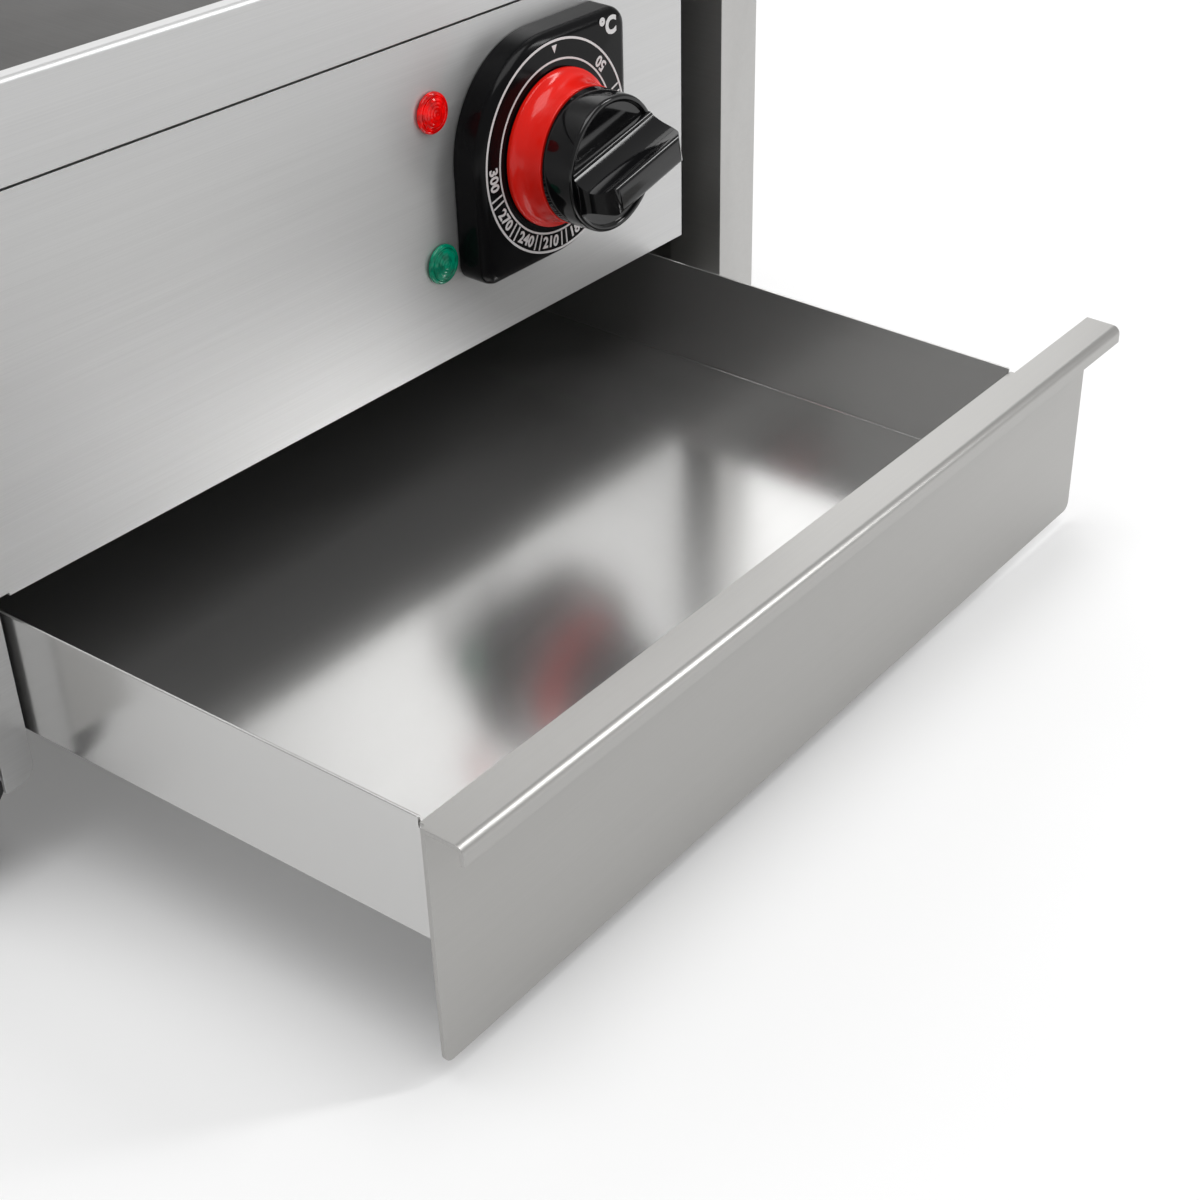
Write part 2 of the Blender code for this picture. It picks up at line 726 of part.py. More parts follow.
for i in range(4):
    x = -86 + 12 * i
    mouth_x = (x - 3.5, x + 3.5)
    mouth = block(f"terminal_mouth_{i}", mouth_x, (365, 378), (106, 114), group=CUTTERS)
    cut(terminal_block, mouth)
    hole(terminal_block, 2.4, (112, 125), (x, 382, 0), sides=12)

# ---- cable gland and earth stud in the rear panel ----
gland_reach = GLAND_END - REAR_OUT - GAP
gland_profile = [
    (9.0, gland_reach),
    (9.6, gland_reach - 1.2),
    (10.4, 14.0),
    (10.4, 7.0),
    (12.0, 6.4),
    (12.0, 0.0),
    (8.0, 0.0),
    (8.0, -9.0),
    (5.0, -9.0),
    (5.0, gland_reach),
]
turned(
    "cable_gland",
    gland_profile,
    (GLAND[0], REAR_OUT + GAP, GLAND[1]),
    BLACK,
    "Y",
    steps=24,
    ring=True,
)
gland_at = (GLAND[0], 0, GLAND[1])
gland_nut = cylinder("gland_nut", 12.0, (393.4, BODY_DEPTH), gland_at, "Y", NYLON, 6)
hole(gland_nut, GLAND_HOLE_R, (390, 402), gland_at, "Y", 24)
earth_at = (EARTH[0], REAR_OUT + GAP, EARTH[1])
screw("earth_stud", earth_at, "Y", 12, COPPER, head_r=4.6, head_h=3.4, shank_r=2.4)


# ---- signal lamps: a domed lens in front, a body behind ----
def lamp(tag, x, z, lens_mat):
    lens = [
        (0, 2.6),
        (2.6, 2.4),
        (4.6, 1.9),
        (LENS_R - 0.3, 1.3),
        (LENS_R, 0.9),
        (LENS_R, 0.4),
        (4.7, 0.4),
        (4.7, -6.0),
        (0, -6.0),
    ]
    turned(f"lamp_lens_{tag}", lens, (x, 0, z), lens_mat, "-Y", steps=20)
    body = [(0, -6.4), (4.9, -6.4), (4.9, -25.0), (3.0, -26.0), (0, -26.0)]
    shell = turned(f"lamp_body_{tag}", body, (x, 0, z), NYLON, "-Y", steps=16)
    for dx in (-2.2, 2.2):
        pin = block(
            f"lamp_pin_{tag}_{'left' if dx < 0 else 'right'}",
            (x + dx - 1.2, x + dx + 1.2),
            (24, 33),
            (z - 0.4, z + 0.4),
            group=CUTTERS,
        )
        fuse(shell, pin)


lamp("red", *LAMPS["red"], LENS_RED)
lamp("green", *LAMPS["green"], LENS_GREEN)


# ---- dial bezel: a leaf outline, two square corners and two quarter circles ----
def leaf(half, corner_r):
    """The bezel's outline in the panel's plane, as (x, z), anticlockwise from the lower right."""
    cx, cz = DIAL
    k = half - corner_r
    return [
        *arc((cx, cz), half, -90, 0, 12),
        *arc((cx + k, cz + k), corner_r, 0, 90, 5),
        *arc((cx, cz), half, 90, 180, 12),
        *arc((cx - k, cz - k), corner_r, 180, 270, 5),
    ]


def front_rounding(obj, front_y, width, segments):
    """Rounds only the edges that lie in the plane of the front face."""
    mesh = obj.data
    weights = mesh.attributes.new("bevel_weight_edge", "FLOAT", "EDGE")
    for edge in mesh.edges:
        ends = [mesh.vertices[i].co.y for i in edge.vertices]
        sharp = all(abs(y - front_y * MM) < 1e-6 for y in ends)
        weights.data[edge.index].value = 1.0 if sharp else 0.0
    bevel = obj.modifiers.new("front_rounding", "BEVEL")
    bevel.width = width * MM
    bevel.segments = segments
    bevel.limit_method = "WEIGHT"


BEZEL_WALL = 2.6
BEZEL_FRONT_T = 3.0
bezel_face = -GAP - BEZEL_D
bezel = outline("dial_bezel", leaf(BEZEL_HALF, 6), "Y", (bezel_face, -GAP), BLACK)
front_rounding(bezel, bezel_face, 2.6, 3)
shade(bezel, 40)
pocket_span = (bezel_face + BEZEL_FRONT_T, 2)
pocket = outline("bezel_pocket", leaf(BEZEL_HALF - BEZEL_WALL, 4), "Y", pocket_span, group=CUTTERS)
cut(bezel, pocket)
hole(bezel, 4.2, (-15, 5), (DIAL[0], 0, DIAL[1]), "Y", 20)
for tag, side in (("upper", 1), ("lower", -1)):
    peg_at = (DIAL[0] + side * PEG_REACH, 0, DIAL[1] + side * PEG_REACH)
    peg = cylinder(f"bezel_peg_{tag}", 1.8, (-9, 4), peg_at, "Y", sides=12)
    fuse(bezel, peg)

# ---- knob: red skirt, black barrel with a wing grip, shaft and spring ring ----
skirt_profile = [
    (BARREL_R + 0.2, BARREL_BASE - 0.3),
    (BARREL_R + 0.2, 6.2),
    (21.6, 3.4),
    (23.2, 2.0),
    (SKIRT_R, 1.6),
    (SKIRT_R, 0.5),
    (11.2, 0.5),
    (11.2, BARREL_BASE - 0.3),
]
turned("knob_skirt", skirt_profile, (0, 0, 0), RED, steps=32, ring=True, parent=KNOB_AXIS)

HUB_R = 9.6
BORE_R = 3.4
SHAFT_R = 3.0
barrel_profile = [
    (0, BARREL_TOP - 0.8),
    (BARREL_R - 2.4, BARREL_TOP - 0.8),
    (BARREL_R - 1.9, BARREL_TOP),
    (BARREL_R - 0.9, BARREL_TOP),
    (BARREL_R - 0.2, BARREL_TOP - 0.9),
    (BARREL_R, BARREL_TOP - 2.2),
    (BARREL_R, BARREL_BASE),
    (HUB_R, BARREL_BASE),
    (HUB_R, 0.9),
    (0, 0.9),
]
knob = turned("knob", barrel_profile, (0, 0, 0), BLACK, steps=32, parent=KNOB_AXIS)
# The grip fills the barrel's width. Each flank is scooped by a cylinder along the grip.
WING_R = BARREL_R - 0.1
root_angle = math.degrees(math.asin(WING_HALF_W / WING_R))
wing_outline = [
    *arc((0, 0), WING_R, -root_angle, root_angle, 5),
    *arc((0, 0), WING_R, 180 - root_angle, 180 + root_angle, 5),
]
wing = outline(
    "knob_wing", wing_outline, "Z", (BARREL_TOP - 3, WING_TOP), group=CUTTERS, parent=KNOB_AXIS
)
# A turned dome rounds both ends of the grip.
dome_profile = [
    (0, WING_TOP + 1.0),
    (12.0, WING_TOP + 1.0),
    (15.0, WING_TOP),
    (16.9, WING_TOP - 0.8),
    (18.4, WING_TOP - 2.2),
    (19.7, WING_TOP - 4.4),
    (20.4, WING_TOP - 8.2),
    (BARREL_R + 0.4, BARREL_TOP),
    (BARREL_R + 0.4, BARREL_TOP - 5),
    (0, BARREL_TOP - 5),
]
dome = turned(
    "knob_dome", dome_profile, (0, 0, 0), steps=48, group=CUTTERS, parent=KNOB_AXIS
)
combine(wing, dome, "INTERSECT")
SCOOP_R = 10.2
SCOOP_AT = (13.54, 29.92)  # sideways from the axis, and up from the bezel's face
for label, side in (("lower", -1), ("upper", 1)):
    scoop = cylinder(
        "knob_scoop_" + label,
        SCOOP_R,
        (-40, 40),
        (0, side * SCOOP_AT[0], SCOOP_AT[1]),
        sides=40,
        group=CUTTERS,
        parent=KNOB_AXIS,
    )
    scoop.rotation_euler = (0, math.radians(90), 0)
    cut(wing, scoop)
rounded_edges(wing, 0.8, 2, 60)
fuse(knob, wing)
axis_at = (0, 0, 0)
bore = cylinder(
    "knob_bore", BORE_R, (-2, 17), axis_at, sides=20, group=CUTTERS, parent=KNOB_AXIS
)
cut(knob, bore)

shaft = cylinder(
    "thermostat_shaft", SHAFT_R, (-31, 16.4), axis_at, mat=ZINC, sides=20, parent=KNOB_AXIS
)
flat = block("shaft_flat", (-5, 5), (1.8, 6), (2, 20), group=CUTTERS, parent=KNOB_AXIS)
cut(shaft, flat)
clip_points = [*arc((0, 0), 10.8, 20, 340, 20), *arc((0, 0), 10.0, 340, 20, 20)]
outline("knob_spring_ring", clip_points, "Z", (4.0, 6.0), ZINC, parent=KNOB_AXIS)

# ---- drawer: a folded box and the face with its turned-over handle ----
box_front = -DRAWER_OUT + GAP
drawer_box = block(
    "drawer_box",
    (BOX_LEFT, BOX_RIGHT),
    (box_front, box_front + BOX_LEN),
    (0, BOX_TOP - BOX_BOTTOM),
    STEEL,
    parent=DRAWER_AXIS,
)
cut(
    drawer_box,
    block(
        "drawer_hollow",
        (BOX_LEFT + BOX_T, BOX_RIGHT - BOX_T),
        (box_front + BOX_T, box_front + BOX_LEN - BOX_T),
        (BOX_T, 60),
        group=CUTTERS,
        parent=DRAWER_AXIS,
    ),
)
cut(
    drawer_box,
    block(
        "front_wall_step",
        (BOX_LEFT - 1, BOX_RIGHT + 1),
        (box_front - 1, box_front + BOX_T + GAP),
        (FACE_TOP - SHEET - GAP - BOX_BOTTOM, 60),
        group=CUTTERS,
        parent=DRAWER_AXIS,
    ),
)

back = -DRAWER_OUT
front = -DRAWER_OUT - SHEET
tip = -DRAWER_OUT - LIP_REACH
bend = 2.6  # outer radius of the handle's fold
top_z = FACE_TOP - BOX_BOTTOM
low_z = FACE_BOTTOM - BOX_BOTTOM
inner = box_front + BOX_T
face_section = [
    (back, low_z),
    (back, top_z),
    *arc((tip + bend, top_z - bend), bend, 90, 180, 5),
    (tip, top_z - LIP_DROP),
    (tip + SHEET, top_z - LIP_DROP),
    *arc((tip + bend, top_z - bend), bend - SHEET, 180, 90, 4),
    (front, top_z - SHEET),
    (front, low_z),
]
drawer_front = outline(
    "drawer_front",
    list(reversed(face_section)),
    "X",
    (FACE_LEFT, FACE_RIGHT),
    STEEL,
    parent=DRAWER_AXIS,
)
# This fold lies on the box's front wall, and the body's flanges pass beside it.
wall_cap = block(
    "front_wall_cap",
    (BOX_LEFT, BOX_RIGHT),
    (back - 0.5, inner),
    (top_z - SHEET, top_z),
    group=CUTTERS,
    parent=DRAWER_AXIS,
)
fuse(drawer_front, wall_cap)
CORNER_R = 3.0
for label, x, turn in (("left", FACE_LEFT, 1), ("right", FACE_RIGHT, -1)):
    center = (x + turn * CORNER_R, low_z + CORNER_R)
    corner = [
        (x - turn, low_z - 1),
        (center[0], low_z - 1),
        *arc(center, CORNER_R, -90, -90 - turn * 90, 6),
        (x - turn, center[1]),
    ]
    corner_cut = outline(
        "face_corner_" + label,
        corner,
        "Y",
        (-DRAWER_OUT - 3, -DRAWER_OUT + 2),
        group=CUTTERS,
        parent=DRAWER_AXIS,
    )
    cut(drawer_front, corner_cut)

# ---- feet and the bolts that hold them ----
foot_profile = [
    (FOOT_R - 0.8, 35.6),
    (FOOT_R, 34.8),
    (FOOT_R, 28.6),
    (FOOT_R - 0.9, 25.4),
    (FOOT_R - 2.9, 22.6),
    (FOOT_R - 5.5, 20.8),
    (8.0, 19.4),
    (7.6, 6.0),
    (8.0, 3.0),
    (8.4, 0.9),
    (7.8, 0.0),
    (0, 0.0),
    (0, 10.0),
    (3.5, 10.0),
    (3.5, 35.6),
]
for label, side in (("left", -1), ("right", 1)):
    for tag, y in (("front", FOOT_Y[0]), ("rear", FOOT_Y[1])):
        turned(
            f"foot_{tag}_{label}",
            foot_profile,
            (side * FOOT_X, y, 0),
            RUBBER,
            steps=20,
            ring=True,
        )
        seat = 37.6 if tag == "front" else 39.2
        bolt = cylinder(
            f"foot_bolt_{tag}_{label}",
            2.9,
            (14, seat + 2),
            (side * FOOT_X, y, 0),
            mat=ZINC,
            sides=12,
        )
        head = cylinder(
            f"foot_bolt_head_{tag}_{label}",
            5.2,
            (seat, seat + 3.8),
            (side * FOOT_X, y, 0),
            sides=6,
            group=CUTTERS,
        )
        fuse(bolt, head)

bpy.context.view_layer.update()
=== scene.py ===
import math

import bmesh
import bpy
from mathutils import Euler, Matrix, Vector


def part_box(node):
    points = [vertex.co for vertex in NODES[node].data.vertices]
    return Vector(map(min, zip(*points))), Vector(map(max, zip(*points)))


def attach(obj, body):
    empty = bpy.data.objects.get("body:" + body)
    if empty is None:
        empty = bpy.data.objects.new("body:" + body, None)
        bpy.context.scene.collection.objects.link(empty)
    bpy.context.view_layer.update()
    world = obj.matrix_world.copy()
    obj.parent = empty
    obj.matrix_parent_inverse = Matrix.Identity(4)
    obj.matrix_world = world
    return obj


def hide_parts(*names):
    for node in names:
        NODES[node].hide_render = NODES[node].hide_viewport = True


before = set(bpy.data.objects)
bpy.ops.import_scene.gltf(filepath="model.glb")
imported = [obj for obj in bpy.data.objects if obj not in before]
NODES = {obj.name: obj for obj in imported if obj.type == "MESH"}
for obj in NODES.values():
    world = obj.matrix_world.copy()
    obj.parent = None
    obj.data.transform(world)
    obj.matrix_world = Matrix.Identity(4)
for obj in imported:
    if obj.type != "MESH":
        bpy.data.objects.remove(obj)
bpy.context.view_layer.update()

MM = 0.001

# ---- places taken from the frame ----
# The dial's own frame lies in the bezel's face: X to the right, Y up and Z out towards the user.
bezel_low, bezel_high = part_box("dial_bezel")
shaft_low, shaft_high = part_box("thermostat_shaft")
PANEL_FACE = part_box("front_panel")[0].y
DIAL = Vector(((shaft_low.x + shaft_high.x) / 2, bezel_low.y, (shaft_low.z + shaft_high.z) / 2))
TO_FRONT = Matrix.Rotation(math.radians(90), 4, "X")
FACE_PLACE = Matrix.Translation(DIAL) @ TO_FRONT
GRIP_ANGLE = math.radians(13)  # of the grip above the horizontal, at rest
KNOB_TURN = Euler((math.radians(90), -GRIP_ANGLE, 0)).to_matrix().to_4x4()
KNOB_PLACE = Matrix.Translation(DIAL) @ KNOB_TURN


# ---- material helpers ----
class Nodes:
    """A small builder for one material's node tree."""

    def __init__(self, name):
        self.mat = bpy.data.materials.new(name)
        self.mat.use_nodes = True
        self.tree = self.mat.node_tree
        self.shader = self.tree.nodes["Principled BSDF"]

    def add(self, kind, **settings):
        node = self.tree.nodes.new(kind)
        for key, value in settings.items():
            setattr(node, key, value)
        return node

    def link(self, source, target):
        self.tree.links.new(source, target)

    def coords(self, scale, rotation=(0, 0, 0)):
        """Object coordinates, in metres, stretched by the scale."""
        where = self.add("ShaderNodeTexCoord")
        mapping = self.add("ShaderNodeMapping")
        mapping.inputs["Scale"].default_value = scale
        mapping.inputs["Rotation"].default_value = rotation
        self.link(where.outputs["Object"], mapping.inputs["Vector"])
        return mapping.outputs["Vector"]

    def noise(self, scale, detail=2.0, roughness=0.5, rotation=(0, 0, 0)):
        texture = self.add("ShaderNodeTexNoise")
        texture.inputs["Scale"].default_value = 1.0
        texture.inputs["Detail"].default_value = detail
        texture.inputs["Roughness"].default_value = roughness
        self.link(self.coords(scale, rotation), texture.inputs["Vector"])
        return texture.outputs["Fac"]

    def ramp(self, value, low, high, start=0.3, end=0.7):
        """Maps a 0 to 1 value onto two numbers or two colours."""
        colors = [c if isinstance(c, tuple) else (c, c, c) for c in (low, high)]
        node = self.add("ShaderNodeValToRGB")
        for element, place, color in zip(node.color_ramp.elements, (start, end), colors):
            element.position = place
            element.color = (*color, 1.0)
        self.link(value, node.inputs["Fac"])
        return node.outputs["Color"]

    def mix(self, share, a, b):
        """Colour a, with this share of colour b."""
        node = self.add("ShaderNodeMix", data_type="RGBA")
        node.inputs[0].default_value = share
        self.link(a, node.inputs[6])
        self.link(b, node.inputs[7])
        return node.outputs[2]

    def bump(self, height, strength, distance):
        """Relief from a 0 to 1 height, with the distance in metres."""
        node = self.add("ShaderNodeBump")
        node.inputs["Strength"].default_value = strength
        node.inputs["Distance"].default_value = distance
        self.link(height, node.inputs["Height"])
        self.link(node.outputs["Normal"], self.shader.inputs["Normal"])

    def set(self, **values):
        """Sets the shader's own sockets, with _ for each space in a name."""
        for key, value in values.items():
            self.shader.inputs[key.replace("_", " ")].default_value = value


def shades(color, low, high):
    """The colour made darker and lighter."""
    return tuple(c * low for c in color), tuple(min(1.0, c * high) for c in color)


FINE_GRAIN, FINE_LENGTH = 3200.0, 16.0  # noise cells to the metre, across and along the scratches
COARSE_GRAIN, COARSE_LENGTH = 420.0, 5.0  # the same for the wider bands
GRAIN_TILT = 0.6  # radians about the grain, so that no sheet lies in a plane of noise cells
ROUGH_DOWN, ROUGH_UP = 0.03, 0.04


def along_axis(axis, value, others):
    """A vector with one value on the axis and another on the other two."""
    return tuple(value if name == axis else others for name in "XYZ")


def brushed(name, along, color, rough, aniso=0.6, metallic=0.7, streak=1.0):
    """Brushed stainless steel, with its grain along one axis. Its fine scratches scatter some light."""
    m = Nodes(name)
    tilt = along_axis(along, GRAIN_TILT, 0.0)
    streaks = m.noise(along_axis(along, FINE_LENGTH, FINE_GRAIN), 2.0, 0.6, tilt)
    bands = m.noise(along_axis(along, COARSE_LENGTH, COARSE_GRAIN), 2.0, 0.5, tilt)
    cloud = m.noise((8.0, 8.0, 8.0), 3.0, 0.5)
    fine_tone = m.ramp(streaks, *shades(color, 1 - 0.06 * streak, 1 + 0.05 * streak))
    wide_tone = m.ramp(bands, *shades(color, 1 - 0.04 * streak, 1 + 0.02 * streak))
    m.link(m.mix(0.4, fine_tone, wide_tone), m.shader.inputs["Base Color"])
    fine_rough, wide_rough = (m.ramp(v, rough - ROUGH_DOWN, rough + ROUGH_UP) for v in (streaks, cloud))
    m.link(m.mix(0.5, fine_rough, wide_rough), m.shader.inputs["Roughness"])
    m.bump(streaks, 0.035 * streak, 0.00005)
    m.set(Metallic=metallic, Anisotropic=aniso)
    tangent = m.add("ShaderNodeTangent", direction_type="RADIAL", axis=along)
    m.link(tangent.outputs["Tangent"], m.shader.inputs["Tangent"])
    return m.mat


def plain_metal(name, color, rough):
    """Unbrushed or plated metal, with faint clouding."""
    m = Nodes(name)
    cloud = m.noise((45.0, 45.0, 45.0), 4.0, 0.6)
    m.link(m.ramp(cloud, *shades(color, 0.86, 1.0)), m.shader.inputs["Base Color"])
    m.link(m.ramp(cloud, rough + 0.08, rough - 0.04), m.shader.inputs["Roughness"])
    m.bump(m.noise((900.0, 900.0, 900.0), 2.0), 0.06, 0.0001)
    m.set(Metallic=1.0)
    return m.mat


def plastic(name, color, rough, grain=0.0, scale=700.0, specular=0.5):
    """Moulded plastic or rubber, with a fine skin of this grain."""
    m = Nodes(name)
    cloud = m.noise((60.0, 60.0, 60.0), 3.0)
    m.link(m.ramp(cloud, *shades(color, 0.9, 1.0)), m.shader.inputs["Base Color"])
    m.link(m.ramp(cloud, rough - 0.02, rough + 0.03), m.shader.inputs["Roughness"])
    m.bump(m.noise((scale, scale, scale), 2.0), 0.01 + grain, 0.0001)
    m.set(Specular_IOR_Level=specular)
    return m.mat


def griddle_steel():
    """Ground dark steel with fine marks and a seasoned, uneven tone."""
    m = Nodes("griddle_steel")
    grind = m.noise((1500.0, 12.0, 900.0), 3.0, 0.6)
    cloud = m.noise((14.0, 14.0, 14.0), 5.0, 0.6)
    ground = m.ramp(grind, (0.046, 0.044, 0.042), (0.070, 0.067, 0.064))
    seasoned = m.ramp(cloud, (0.048, 0.046, 0.044), (0.070, 0.067, 0.065))
    m.link(m.mix(0.5, ground, seasoned), m.shader.inputs["Base Color"])
    m.link(m.ramp(cloud, 0.40, 0.52), m.shader.inputs["Roughness"])
    m.bump(grind, 0.12, 0.0001)
    m.set(Metallic=0.75)
    return m.mat


def wool():
    """Matted mineral fibre, in tufts."""
    m = Nodes("mineral_wool")
    fibre = m.noise((500.0, 90.0, 500.0), 5.0, 0.7)
    m.link(m.ramp(fibre, (0.40, 0.33, 0.22), (0.62, 0.55, 0.40)), m.shader.inputs["Base Color"])
    m.bump(fibre, 0.7, 0.001)
    m.set(Roughness=0.95)
    return m.mat


def lens_material(name, color, glow):
    """Clear coloured plastic over a lamp's reflector, with uneven light from behind."""
    m = Nodes(name)
    flecks = m.noise((420.0, 420.0, 420.0), 2.0, 0.6)
    tone = m.ramp(flecks, *shades(color, 0.45, 1.0), 0.32, 0.62)
    m.link(tone, m.shader.inputs["Base Color"])
    m.link(tone, m.shader.inputs["Emission Color"])
    m.bump(flecks, 0.05, 0.0002)
    m.set(Roughness=0.06, Emission_Strength=glow, IOR=1.49, Specular_IOR_Level=0.4)
    return m.mat


STEEL_X = brushed("steel_grain_x", "X", (0.59, 0.59, 0.588), rough=0.38)
STEEL_Y = brushed("steel_grain_y", "Y", (0.48, 0.475, 0.465), rough=0.31, metallic=0.9)
# The drawer face is a darker copy of the panel steel: painted shade, standing in for the darker
# reflection on the face.
STEEL_FACE_PAINTED_SHADE = brushed("steel_drawer_face", "X", (0.41, 0.404, 0.392), rough=0.31, streak=0.5)
STEEL_DRAWER = brushed(
    "steel_drawer", "X", (0.60, 0.597, 0.59), rough=0.19, aniso=0.2, metallic=0.88, streak=0.35
)
STEEL_IN = plain_metal("mill_finish_steel", (0.46, 0.455, 0.44), rough=0.36)
ZINC = plain_metal("zinc_plate", (0.60, 0.60, 0.56), rough=0.34)
COPPER = plain_metal("drawn_copper", (0.78, 0.42, 0.27), rough=0.3)
SHEATH = plain_metal("element_sheath", (0.20, 0.17, 0.15), rough=0.42)
GLOSS_BLACK = plastic("gloss_black", (0.004, 0.004, 0.0045), rough=0.08, specular=0.42)
BEZEL_BLACK = plastic("bezel_black", (0.004, 0.004, 0.0045), rough=0.16, specular=0.12)
GLOSS_RED = plastic("gloss_red", (0.80, 0.012, 0.006), rough=0.14, specular=0.3)
RUBBER = plastic("foot_rubber", (0.014, 0.014, 0.015), rough=0.62, grain=0.25, scale=900.0)
NYLON = plastic("nylon", (0.62, 0.58, 0.50), rough=0.45, grain=0.05)
BAKELITE = plastic("bakelite", (0.028, 0.022, 0.018), rough=0.38, grain=0.05)
GLAND_BLACK = plastic("gland_black", (0.018, 0.018, 0.019), rough=0.42, grain=0.12)
PRINT = plastic("white_print", (0.74, 0.74, 0.74), rough=0.45, grain=0.02)
GRIDDLE = griddle_steel()
WOOL = wool()
LENS_RED = lens_material("red_lens", (0.85, 0.002, 0.002), glow=0.18)
LENS_GREEN = lens_material("green_lens", (0.0, 0.27, 0.15), glow=0.10)

# Each key is the start of the names of the nodes with that look.
LOOKS = {
    "front_panel": STEEL_X,
    "rear_panel": STEEL_X,
    "side_panel_left": STEEL_Y,
    "side_panel_right": STEEL_Y,
    "top_frame": STEEL_X,
    "splash_guard": STEEL_X,
    "drawer_box": STEEL_DRAWER,
    "drawer_front": STEEL_FACE_PAINTED_SHADE,
    "base_pan": STEEL_IN,
    "drawer_shield": STEEL_IN,
    "heat_shield": STEEL_IN,
    "grease_chute": STEEL_IN,
    "griddle_plate": GRIDDLE,
    "insulation_blanket": WOOL,
    "heating_element": SHEATH,
    "dial_bezel": GLOSS_BLACK,
    "knob_skirt": GLOSS_RED,
    "knob_spring_ring": ZINC,
    "knob": GLOSS_BLACK,
    "cable_gland": GLAND_BLACK,
    "gland_nut": NYLON,
    "terminal_block": NYLON,
    "lamp_body": NYLON,
    "lamp_lens_red": LENS_RED,
    "lamp_lens_green": LENS_GREEN,
    "thermostat_body": BAKELITE,
    "safety_cutout": BAKELITE,
    "sensor": COPPER,
    "earth_stud": COPPER,
    "foot_bolt": ZINC,
    "foot": RUBBER,
}


def look_for(name):
    """The material of the longest key that the node's name starts with."""
    keys = [key for key in LOOKS if name.startswith(key)]
    return LOOKS[max(keys, key=len)] if keys else ZINC


def soften(obj, width, angle=30, segments=2):
    """Welds a carried mesh and rounds its sharp edges, so that they catch the light."""
    weld = obj.modifiers.new("weld", "WELD")
    weld.merge_threshold = 0.005 * MM
    bevel = obj.modifiers.new("edge", "BEVEL")
    bevel.width = width
    bevel.segments = segments
    bevel.limit_method = "ANGLE"
    bevel.angle_limit = math.radians(angle)
    bevel.use_clamp_overlap = True
    normals = obj.modifiers.new("normals", "WEIGHTED_NORMAL")
    normals.keep_sharp = True
    obj.data.shade_smooth()


BODY_SHEETS = (
    "front_panel",
    "rear_panel",
    "side_panel_left",
    "side_panel_right",
    "splash_guard",
    "top_frame",
)
DRAWER_SHEETS = ("drawer_box", "drawer_front")
for name, node in NODES.items():
    node.data.materials.clear()
    node.data.materials.append(look_for(name))
    if name in BODY_SHEETS:
        soften(node, 0.40 * MM)
    elif name in DRAWER_SHEETS:
        soften(node, 0.35 * MM)
    else:
        soften(node, 0.15 * MM, angle=35, segments=1)


# ---- mesh helpers for the visible moulded pieces ----
def piece(name, bm, mat, body, place=None, smooth=40, replaces=()):
    """Turns a bmesh into a piece that rides on a body. Edges over smooth degrees stay sharp."""
    bmesh.ops.recalc_face_normals(bm, faces=bm.faces)
    mesh = bpy.data.meshes.new(name)
    bm.to_mesh(mesh)
    bm.free()
    mesh.materials.append(mat)
    if smooth:
        mesh.shade_smooth()
        mesh.set_sharp_from_angle(angle=math.radians(smooth))
    obj = bpy.data.objects.new(name, mesh)
    if place is not None:
        mesh.transform(place)
    bpy.context.scene.collection.objects.link(obj)
    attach(obj, body)
    if replaces:
        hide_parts(*replaces)
    return obj


def join_loops(bm, loops):
    """Faces between successive rings of vertices with the same count, and from the last to the first."""
    for a, b in zip(loops, loops[1:] + loops[:1]):
        for i in range(len(a)):
            j = (i + 1) % len(a)
            bm.faces.new((a[i], a[j], b[j], b[i]))


ON_AXIS = 1e-6


def lathe(profile, steps):
    """A closed (radius, height) profile in millimetres, turned about Z. Radius 0 closes it."""
    bm = bmesh.new()
    ring = [2 * math.pi * i / steps for i in range(steps)]
    loops = []
    for r, h in profile:
        if r < ON_AXIS:
            loops.append([bm.verts.new((0, 0, h * MM))])
            continue
        points = [(r * math.cos(a) * MM, r * math.sin(a) * MM, h * MM) for a in ring]
        loops.append([bm.verts.new(p) for p in points])
    for a, b in zip(loops, loops[1:] + loops[:1]):
        for i in range(steps):
            j = (i + 1) % steps
            if len(a) == 1 and len(b) == 1:
                break
            if len(a) == 1:
                bm.faces.new((a[0], b[j], b[i]))
            elif len(b) == 1:
                bm.faces.new((a[i], a[j], b[0]))
            else:
                bm.faces.new((a[i], a[j], b[j], b[i]))
    return bm


def rounded(corners, radii, steps=4):
    """A profile with each corner replaced by a smooth blend that starts this far from it."""
    found = []
    for i, (here, r) in enumerate(zip(corners, radii)):
        before, after = Vector(corners[i - 1]), Vector(corners[(i + 1) % len(corners)])
        corner = Vector(here)
        if r <= 0 or corner.x < ON_AXIS:
            found.append(tuple(corner))
            continue
        a = corner + (before - corner).normalized() * min(r, (before - corner).length * 0.49)
        b = corner + (after - corner).normalized() * min(r, (after - corner).length * 0.49)
        for k in range(steps + 1):
            t = k / steps
            found.append(tuple(a * (1 - t) ** 2 + corner * 2 * t * (1 - t) + b * t * t))
    return found


# ---- bezel: a leaf outline with a rolled front edge and a pocket behind ----
BEZEL_HALF = (bezel_high.x - bezel_low.x) / 2 / MM
BEZEL_DEPTH = 10.3
BEZEL_R = 6.0  # of the two tight corners
LEAST_CORNER_R = 0.2
EDGE_R, EDGE_STEPS = 3.4, 8
BEZEL_WALL = 2.6
FACE_THICK = 3.0
HUB_HOLE_R = 4.2


def leaf(bm, inset, height, steps=24):
    """A ring of the leaf outline, offset inwards, at a height above the bezel's face."""
    half, r = BEZEL_HALF - inset, max(BEZEL_R - inset, LEAST_CORNER_R)
    k = BEZEL_HALF - BEZEL_R
    points = []
    arcs = (((0, 0), half, -90), ((k, k), r, 0), ((0, 0), half, 90), ((-k, -k), r, 180))
    for center, radius, start in arcs:
        for i in range(steps + 1):
            a = math.radians(start + 90 * i / steps)
            points.append((center[0] + radius * math.cos(a), center[1] + radius * math.sin(a)))
    return [bm.verts.new((x * MM, y * MM, height * MM)) for x, y in points]


